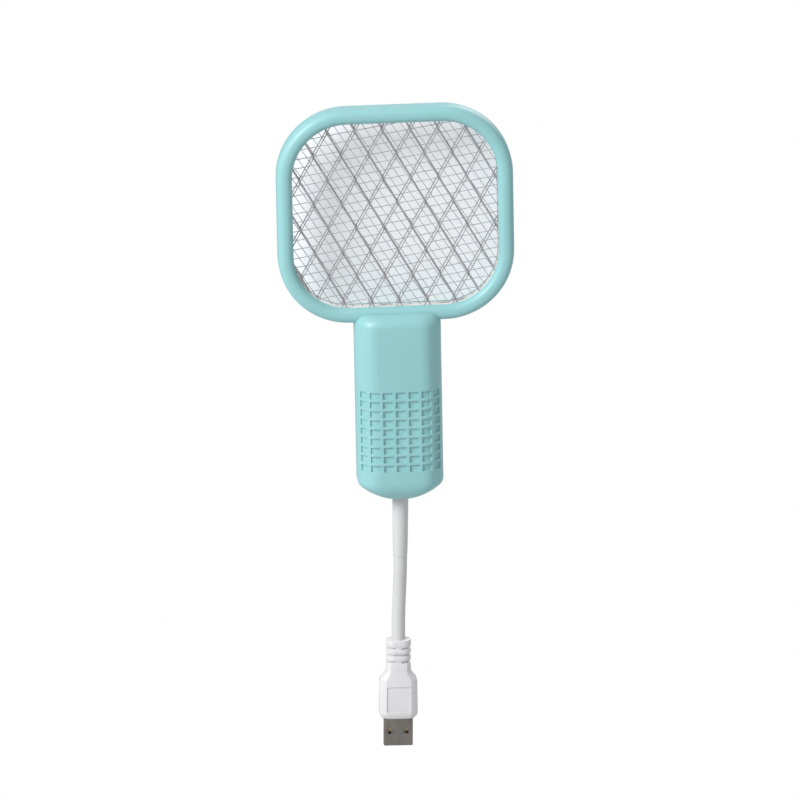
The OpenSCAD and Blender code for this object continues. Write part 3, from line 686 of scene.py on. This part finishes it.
def makeKnob():
    low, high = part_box("slide_knob")
    plate = low.y + 0.8 * mm
    width, height = high.x - low.x, high.z - low.z
    middle = (low.z + high.z) / 2
    knob = loft("knob", [(low.y, width, height), (plate, width, height)], corner=0.4 * mm, segments=3,
                place=(0, 0, middle), alongY=True)
    cap = loft("cap", [(plate - 0.1 * mm, 3.6 * mm, 5 * mm), (high.y - 0.4 * mm, 3.6 * mm, 5 * mm),
                       (high.y - 0.1 * mm, 3.4 * mm, 4.8 * mm), (high.y, 3.0 * mm, 4.4 * mm)],
               corner=0.5 * mm, place=(0, 0, middle), alongY=True)
    for row in range(-2, 3):
        notch = roundBar("notch", 0.22 * mm, -3 * mm, 3 * mm, 0, 0, 12)
        notch.rotation_euler = (0, 0, math.pi / 2)
        notch.location = (0, high.y + 0.04 * mm, middle + row * 0.85 * mm)
        carve(cap, settle(notch))
    carve(knob, cap, "UNION")
    return smoothBy(knob, 35)


def makeLens():
    low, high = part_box("led_window")
    wide = high.x - low.x
    top = high.y
    rings = [(low.y, wide, wide), (top - 0.35 * mm, wide, wide), (top - 0.15 * mm, wide * 0.88, wide * 0.88),
             (top - 0.04 * mm, wide * 0.62, wide * 0.62), (top, wide * 0.2, wide * 0.2)]
    return smoothBy(loft("lampLens", rings, place=(0, 0, (low.z + high.z) / 2), alongY=True), 60)


buttonPiece = putOn(makeButton(), "push_button", "white_plastic", "push_button")
knobPiece = putOn(makeKnob(), "slide_knob", "white_plastic", "slide_knob")
lensPiece = putOn(makeLens(), "swatter", "red_lens", "led_window")
print("controls ready")


# ---- materials

def patternGroup(name, outputs):  # a shared pattern: it gives masks and a bent normal, no shader
    group = bpy.data.node_groups.new(name, "ShaderNodeTree")
    for label, kind, value in (("Scale", "NodeSocketFloat", 100.0), ("Bump", "NodeSocketFloat", 0.1)):
        socket = group.interface.new_socket(label, in_out="INPUT", socket_type=kind)
        socket.default_value = value
    for label in outputs:
        kind = "NodeSocketVector" if label == "Normal" else "NodeSocketFloat"
        group.interface.new_socket(label, in_out="OUTPUT", socket_type=kind)
    return group, group.nodes.new("NodeGroupInput"), group.nodes.new("NodeGroupOutput")


def addNode(tree, kind, values=None, **settings):
    node = tree.nodes.new("ShaderNode" + kind)
    for key, value in settings.items():
        setattr(node, key, value)
    for key, value in (values or {}).items():
        node.inputs[key].default_value = value
    return node


def makeMoulded():  # moulded plastic: broad mottling, a fine grain, and specks
    group, given, result = patternGroup("mouldedPlastic", ("Mottle", "Grain", "Specks", "Normal"))
    link = group.links.new
    place = addNode(group, "TexCoord")
    broad = addNode(group, "TexNoise", {"Scale": 38.0, "Detail": 3.0, "Roughness": 0.55})
    fine = addNode(group, "TexNoise", {"Detail": 4.0, "Roughness": 0.6})
    dots = addNode(group, "TexVoronoi", {"Randomness": 1.0})
    rare = addNode(group, "MapRange", {"From Min": 0.02, "From Max": 0.09, "To Min": 1.0, "To Max": 0.0})
    bump = addNode(group, "Bump", {"Distance": 0.0002})
    for texture in (broad, fine, dots):
        link(place.outputs["Object"], texture.inputs["Vector"])
    link(given.outputs["Scale"], fine.inputs["Scale"])
    link(given.outputs["Scale"], dots.inputs["Scale"])
    link(dots.outputs["Distance"], rare.inputs["Value"])
    link(fine.outputs["Fac"], bump.inputs["Height"])
    link(given.outputs["Bump"], bump.inputs["Strength"])
    link(broad.outputs["Fac"], result.inputs["Mottle"])
    link(fine.outputs["Fac"], result.inputs["Grain"])
    link(rare.outputs["Result"], result.inputs["Specks"])
    link(bump.outputs["Normal"], result.inputs["Normal"])
    return group


def makeDrawn():  # drawn or rolled metal: streaks along Z and stains
    group, given, result = patternGroup("drawnMetal", ("Streaks", "Stain", "Normal"))
    link = group.links.new
    place = addNode(group, "TexCoord")
    stretch = addNode(group, "Mapping", {"Scale": (1.0, 1.0, 0.06)})
    lines = addNode(group, "TexNoise", {"Detail": 3.0, "Roughness": 0.7})
    stain = addNode(group, "TexNoise", {"Scale": 160.0, "Detail": 5.0, "Roughness": 0.62})
    bump = addNode(group, "Bump", {"Distance": 0.00008})
    link(place.outputs["Object"], stretch.inputs["Vector"])
    link(stretch.outputs["Vector"], lines.inputs["Vector"])
    link(place.outputs["Object"], stain.inputs["Vector"])
    link(given.outputs["Scale"], lines.inputs["Scale"])
    link(lines.outputs["Fac"], bump.inputs["Height"])
    link(given.outputs["Bump"], bump.inputs["Strength"])
    link(lines.outputs["Fac"], result.inputs["Streaks"])
    link(stain.outputs["Fac"], result.inputs["Stain"])
    link(bump.outputs["Normal"], result.inputs["Normal"])
    return group


mouldedGroup, drawnGroup = makeMoulded(), makeDrawn()


def newMaterial(name, **shader):
    material = bpy.data.materials.new(name)
    material.use_nodes = True
    tree = material.node_tree
    surface = tree.nodes["Principled BSDF"]
    for key, value in shader.items():
        surface.inputs[key].default_value = value
    return material, tree, surface


def useGroup(tree, group, scale, bump):
    node = tree.nodes.new("ShaderNodeGroup")
    node.node_tree = group
    node.inputs["Scale"].default_value = scale
    node.inputs["Bump"].default_value = bump
    return node


def blendColours(tree, mask, low, high, span=(0.3, 0.7)):
    ramp = addNode(tree, "ValToRGB")
    ramp.color_ramp.elements[0].position, ramp.color_ramp.elements[1].position = span
    ramp.color_ramp.elements[0].color, ramp.color_ramp.elements[1].color = (*low, 1), (*high, 1)
    tree.links.new(mask, ramp.inputs["Fac"])
    return ramp.outputs["Color"]


def spread(tree, mask, low, high):  # turns a mask into a range of roughness
    node = addNode(tree, "MapRange", {"From Min": 0.3, "From Max": 0.7, "To Min": low, "To Max": high})
    tree.links.new(mask, node.inputs["Value"])
    return node.outputs["Result"]


def plastic(name, dark, light, roughness, scale=900.0, bump=0.08, speck=None, **shader):
    material, tree, surface = newMaterial(name, **shader)
    pattern = useGroup(tree, mouldedGroup, scale, bump)
    colour = blendColours(tree, pattern.outputs["Mottle"], dark, light)
    if speck:
        mix = addNode(tree, "Mix", data_type="RGBA", blend_type="MIX")
        mix.inputs[7].default_value = (*speck, 1)
        tree.links.new(pattern.outputs["Specks"], mix.inputs[0])
        tree.links.new(colour, mix.inputs[6])
        colour = mix.outputs[2]
    tree.links.new(colour, surface.inputs["Base Color"])
    tree.links.new(spread(tree, pattern.outputs["Grain"], *roughness), surface.inputs["Roughness"])
    tree.links.new(pattern.outputs["Normal"], surface.inputs["Normal"])
    return material


def metal(name, dark, light, roughness, scale=3000.0, bump=0.1, **shader):
    material, tree, surface = newMaterial(name, Metallic=1.0, **shader)
    pattern = useGroup(tree, drawnGroup, scale, bump)
    colour = blendColours(tree, pattern.outputs["Stain"], dark, light)
    tree.links.new(colour, surface.inputs["Base Color"])
    tree.links.new(spread(tree, pattern.outputs["Streaks"], *roughness), surface.inputs["Roughness"])
    tree.links.new(pattern.outputs["Normal"], surface.inputs["Normal"])
    return material


finishes = {
    "housing": plastic("aquaPlastic", (0.272, 0.556, 0.578), (0.292, 0.576, 0.598), (0.36, 0.46), 1400, 0.05),
    "grid_wire": metal("gridSteel", (0.44, 0.44, 0.46), (0.64, 0.64, 0.67), (0.28, 0.45), 6000, 0.2),
    "white_plastic": plastic("whitePlastic", (0.74, 0.75, 0.74), (0.80, 0.81, 0.80), (0.35, 0.5), 1100, 0.06),
    "dark_ceramic": plastic("ferrite", (0.035, 0.034, 0.036), (0.075, 0.072, 0.075), (0.55, 0.8), 2600, 0.35),
    "capacitor": plastic("capacitorCoat", (0.42, 0.10, 0.03), (0.55, 0.15, 0.05), (0.18, 0.32), 700, 0.12,
                         **{"Coat Weight": 0.4}),
    "dark_plastic": plastic("epoxyBlack", (0.018, 0.018, 0.020), (0.035, 0.035, 0.038), (0.4, 0.6), 1800,
                            0.2),
    "foam": plastic("foamPad", (0.05, 0.05, 0.055), (0.13, 0.13, 0.14), (0.85, 1.0), 2400, 0.8),
    "lead_insulation": plastic("leadInsulation", (0.42, 0.02, 0.02), (0.55, 0.04, 0.03), (0.3, 0.45), 1500,
                               0.08),
    "nickel": metal("nickelStrip", (0.50, 0.48, 0.44), (0.66, 0.64, 0.60), (0.22, 0.4), 2600, 0.1),
    "screw_steel": metal("screwSteel", (0.38, 0.38, 0.40), (0.56, 0.56, 0.58), (0.25, 0.42), 2200, 0.15),
    "cord_white": plastic("leadWhite", (0.58, 0.585, 0.59), (0.65, 0.655, 0.66), (0.38, 0.5), 1300, 0.06,
                          (0.62, 0.62, 0.60)),
    "plug_white": plastic("plugWhite", (0.67, 0.67, 0.685), (0.73, 0.73, 0.745), (0.3, 0.44), 1200, 0.06,
                          (0.64, 0.64, 0.62)),
    "plug_steel": metal("plugSteel", (0.20, 0.183, 0.17), (0.30, 0.277, 0.255), (0.3, 0.5), 2400, 0.15),
    "contact_gold": metal("contactGold", (0.38, 0.27, 0.13), (0.48, 0.35, 0.18), (0.18, 0.3), 2400, 0.08),
}


def makeBoard():  # green board: mask over copper tracks
    material, tree, surface = newMaterial("circuitBoard", Roughness=0.35)
    pattern = useGroup(tree, mouldedGroup, 1500, 0.1)
    place = addNode(tree, "TexCoord")
    tracks = addNode(tree, "TexBrick", {"Scale": 260.0, "Mortar Size": 0.09, "Brick Width": 0.9,
                                        "Row Height": 0.45, "Color1": (0.008, 0.13, 0.045, 1),
                                        "Color2": (0.010, 0.16, 0.055, 1), "Mortar": (0.03, 0.27, 0.10, 1)})
    lay = addNode(tree, "Mapping", {"Rotation": (math.pi / 2, 0, 0)})
    tree.links.new(place.outputs["Object"], lay.inputs["Vector"])
    tree.links.new(lay.outputs["Vector"], tracks.inputs["Vector"])
    tree.links.new(tracks.outputs["Color"], surface.inputs["Base Color"])
    tree.links.new(spread(tree, pattern.outputs["Grain"], 0.25, 0.45), surface.inputs["Roughness"])
    tree.links.new(pattern.outputs["Normal"], surface.inputs["Normal"])
    return material


def makeWinding():  # copper turns round the core, with painted shade in the grooves between turns
    material, tree, surface = newMaterial("windingCopper", Metallic=0.7)
    place = addNode(tree, "TexCoord")
    turns = addNode(tree, "TexWave", {"Scale": 900.0, "Distortion": 0.6, "Detail": 1.0}, bands_direction="Z")
    bump = addNode(tree, "Bump", {"Strength": 0.6, "Distance": 0.0001})
    tree.links.new(place.outputs["Object"], turns.inputs["Vector"])
    tree.links.new(turns.outputs["Fac"], bump.inputs["Height"])
    # painted shade: the colour follows the bump bands, darker in the grooves between turns and copper-toned
    # on the crests
    colour = blendColours(tree, turns.outputs["Fac"], (0.20, 0.06, 0.02), (0.70, 0.28, 0.11), (0.1, 0.8))
    tree.links.new(colour, surface.inputs["Base Color"])
    tree.links.new(spread(tree, turns.outputs["Fac"], 0.45, 0.28), surface.inputs["Roughness"])
    tree.links.new(bump.outputs["Normal"], surface.inputs["Normal"])
    return material


def makeBanded(name, base, bands, scale, axis):  # a body with coloured rings
    material, tree, surface = newMaterial(name)
    pattern = useGroup(tree, mouldedGroup, 1600, 0.08)
    place = addNode(tree, "TexCoord")
    rings = addNode(tree, "TexWave", {"Scale": scale, "Distortion": 0.0}, bands_direction=axis)
    tree.links.new(place.outputs["Object"], rings.inputs["Vector"])
    colour = blendColours(tree, rings.outputs["Fac"], base, bands, (0.72, 0.76))
    tree.links.new(colour, surface.inputs["Base Color"])
    tree.links.new(spread(tree, pattern.outputs["Grain"], 0.3, 0.5), surface.inputs["Roughness"])
    tree.links.new(pattern.outputs["Normal"], surface.inputs["Normal"])
    return material


def makeLensRed():
    material, tree, surface = newMaterial("lensRed", **{"Transmission Weight": 0.35, "IOR": 1.49})
    pattern = useGroup(tree, mouldedGroup, 1800, 0.05)
    tree.links.new(blendColours(tree, pattern.outputs["Mottle"], (0.55, 0.012, 0.01), (0.70, 0.03, 0.02)),
                   surface.inputs["Base Color"])
    tree.links.new(spread(tree, pattern.outputs["Grain"], 0.08, 0.18), surface.inputs["Roughness"])
    tree.links.new(pattern.outputs["Normal"], surface.inputs["Normal"])
    return material


finishes["board"] = makeBoard()
finishes["winding"] = makeWinding()
finishes["resistor"] = makeBanded("resistorBands", (0.55, 0.40, 0.22), (0.20, 0.05, 0.02), 420.0, "Z")
finishes["cell_sleeve"] = plastic("cellSleeve", (0.025, 0.09, 0.30), (0.035, 0.12, 0.36), (0.2, 0.34), 900,
                                  0.06)
finishes["red_lens"] = makeLensRed()

newPieces = {"housing": (frontShell, rearShell), "grid_wire": (frontGrid, rearGrid, middleGrid),
             "cord_white": (leadPiece, reliefPiece), "plug_white": (moulding,), "plug_steel": (plugShell,),
             "white_plastic": (buttonPiece, knobPiece), "red_lens": (lensPiece,)}
for slotName, group in newPieces.items():
    for piece in group:
        piece.data.materials.clear()
        piece.data.materials.append(finishes[slotName])

replaced = {"front_housing", "rear_housing", "front_grid", "middle_grid", "rear_grid", "usb_cord",
            "cord_strain_relief", "plug_overmould", "usb_shell", "push_button", "slide_knob", "led_window"}
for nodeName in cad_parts:
    if nodeName not in replaced:
        for place in bpy.data.objects[nodeName].material_slots:
            place.material = finishes[place.material.name.split(".")[0]]
print("materials ready")

# ---- floor and lights

studio = {"floor": -0.5, "floorSize": 40, "floorGlow": 1.0, "floorTone": (0.62, 0.62, 0.62), "world": 0.6,
          "key": (-1.35, -1.0, 1.15), "keyPower": 35, "keySize": 0.8,
          "fill": (0.9, 1.6, 0.9), "fillPower": 12, "fillSize": 1.2,
          "card": 16 * mm, "cardCorner": 25 * mm, "cardDrop": 1 * mm, "cardGlow": 0.27,
          "cardTone": (0.775, 0.79, 0.825), "cardFacing": 0.93}


# a pale paper; the camera sees one finish and the light another
def makePaper(name, tone, glow):
    material, tree, surface = newMaterial(name, Roughness=0.9)
    surface.inputs["Base Color"].default_value = (*tone, 1)
    surface.inputs["Emission Color"].default_value = (1, 1, 1, 1)
    surface.inputs["Emission Strength"].default_value = glow
    path, mix = addNode(tree, "LightPath"), addNode(tree, "MixShader")
    tree.links.new(path.outputs["Is Camera Ray"], mix.inputs[0])
    tree.links.new(mix.outputs[0], tree.nodes["Material Output"].inputs["Surface"])
    return material, tree, surface, path, mix


def makeFloorPaper():
    material, tree, surface, path, mix = makePaper("paper", studio["floorTone"], 0)
    glow = addNode(tree, "Emission", {"Strength": studio["floorGlow"]})
    tree.links.new(surface.outputs[0], mix.inputs[1])
    tree.links.new(glow.outputs[0], mix.inputs[2])
    return material


def makeCardPaper():  # seen by the camera from near the front only, and clear to everything else
    material, tree, surface, path, mix = makePaper("cardPaper", studio["cardTone"], studio["cardGlow"])
    side, clear = addNode(tree, "NewGeometry"), addNode(tree, "BsdfTransparent")
    facing = addNode(tree, "VectorMath", operation="DOT_PRODUCT")
    near = addNode(tree, "Math", {1: studio["cardFacing"]}, operation="GREATER_THAN")
    front = addNode(tree, "Math", operation="SUBTRACT", use_clamp=True)
    seen = addNode(tree, "Math", operation="MULTIPLY")
    tree.links.new(side.outputs["Incoming"], facing.inputs[0])
    tree.links.new(side.outputs["Normal"], facing.inputs[1])
    tree.links.new(facing.outputs["Value"], near.inputs[0])
    tree.links.new(near.outputs[0], front.inputs[0])
    tree.links.new(side.outputs["Backfacing"], front.inputs[1])
    tree.links.new(front.outputs[0], seen.inputs[0])
    tree.links.new(path.outputs["Is Camera Ray"], seen.inputs[1])
    tree.links.new(seen.outputs[0], mix.inputs[0])
    tree.links.new(clear.outputs[0], mix.inputs[1])
    tree.links.new(surface.outputs[0], mix.inputs[2])
    return material


bpy.ops.mesh.primitive_plane_add(size=studio["floorSize"], location=(0, 0, studio["floor"]))
floor = named(bpy.context.object, "floor")
floor.data.materials.append(makeFloorPaper())

# the card behind the opening takes the shadow of the grids
card = loft("card", [(0, head["width"] - 8 * mm, head["height"] - 6 * mm)], studio["cardCorner"], 12)
card.rotation_euler = (-math.pi / 2, 0, 0)
card.location = (0, studio["card"], head["middle"] - studio["cardDrop"])
settle(card)
openMesh(card)
pick(card, "FACE", lambda face: face.normal.y > 0)
bpy.ops.mesh.flip_normals()
closeMesh()
card.data.materials.append(makeCardPaper())

def addWorld():  # an even soft sky, white where the camera sees it
    world = bpy.data.worlds.new("studio")
    bpy.context.scene.world = world
    world.use_nodes = True
    tree = world.node_tree
    sky = tree.nodes["Background"]
    sky.inputs["Color"].default_value = (1, 1, 1, 1)
    path = addNode(tree, "LightPath")
    power = addNode(tree, "MapRange", {"To Min": studio["world"], "To Max": studio["floorGlow"]})
    tree.links.new(path.outputs["Is Camera Ray"], power.inputs["Value"])
    tree.links.new(power.outputs["Result"], sky.inputs["Strength"])


addWorld()


def areaLight(name, place, power, size, aim=(0, 0, 0.03)):
    bpy.ops.object.light_add(type="AREA", location=place)
    lamp = named(bpy.context.object, name)
    lamp.data.size = size
    lamp.data.energy = power
    lamp.rotation_euler = (Vector(aim) - lamp.location).to_track_quat("-Z", "Y").to_euler()


areaLight("key", studio["key"], studio["keyPower"], studio["keySize"])
areaLight("backFill", studio["fill"], studio["fillPower"], studio["fillSize"])

bpy.context.view_layer.update()
